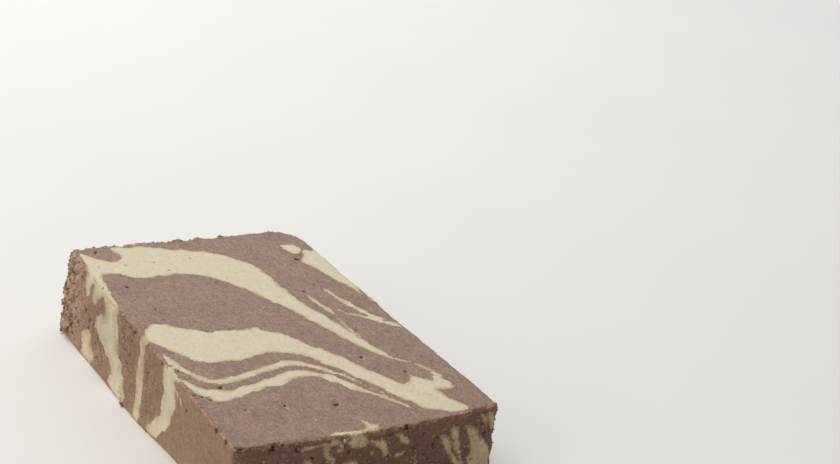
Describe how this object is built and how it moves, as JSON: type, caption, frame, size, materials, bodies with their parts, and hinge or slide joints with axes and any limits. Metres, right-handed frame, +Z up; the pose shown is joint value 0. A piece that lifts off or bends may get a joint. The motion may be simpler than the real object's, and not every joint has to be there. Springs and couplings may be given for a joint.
{
  "type": "chocolate halva slice",
  "caption": "Thick hand-cut slice of marbled chocolate and sesame halva, lying flat on a cut face, with a crumbly back end and a rounded corner.",
  "frame": {"origin": "on the surface that the slice lies on, under the middle of its bounding box", "axes": "+Z up through the slice's thickness, +Y along its length towards the crumbly back end, +X across it towards the side with the rounded back corner"},
  "size_m": [0.0848, 0.1334, 0.0273],
  "materials": {
    "halva": "matt, fine-grained crumb, brown marbled with cream"
  },
  "bodies": {
    "root": {"halva_slice": "halva"}
  },
  "joints": []
}
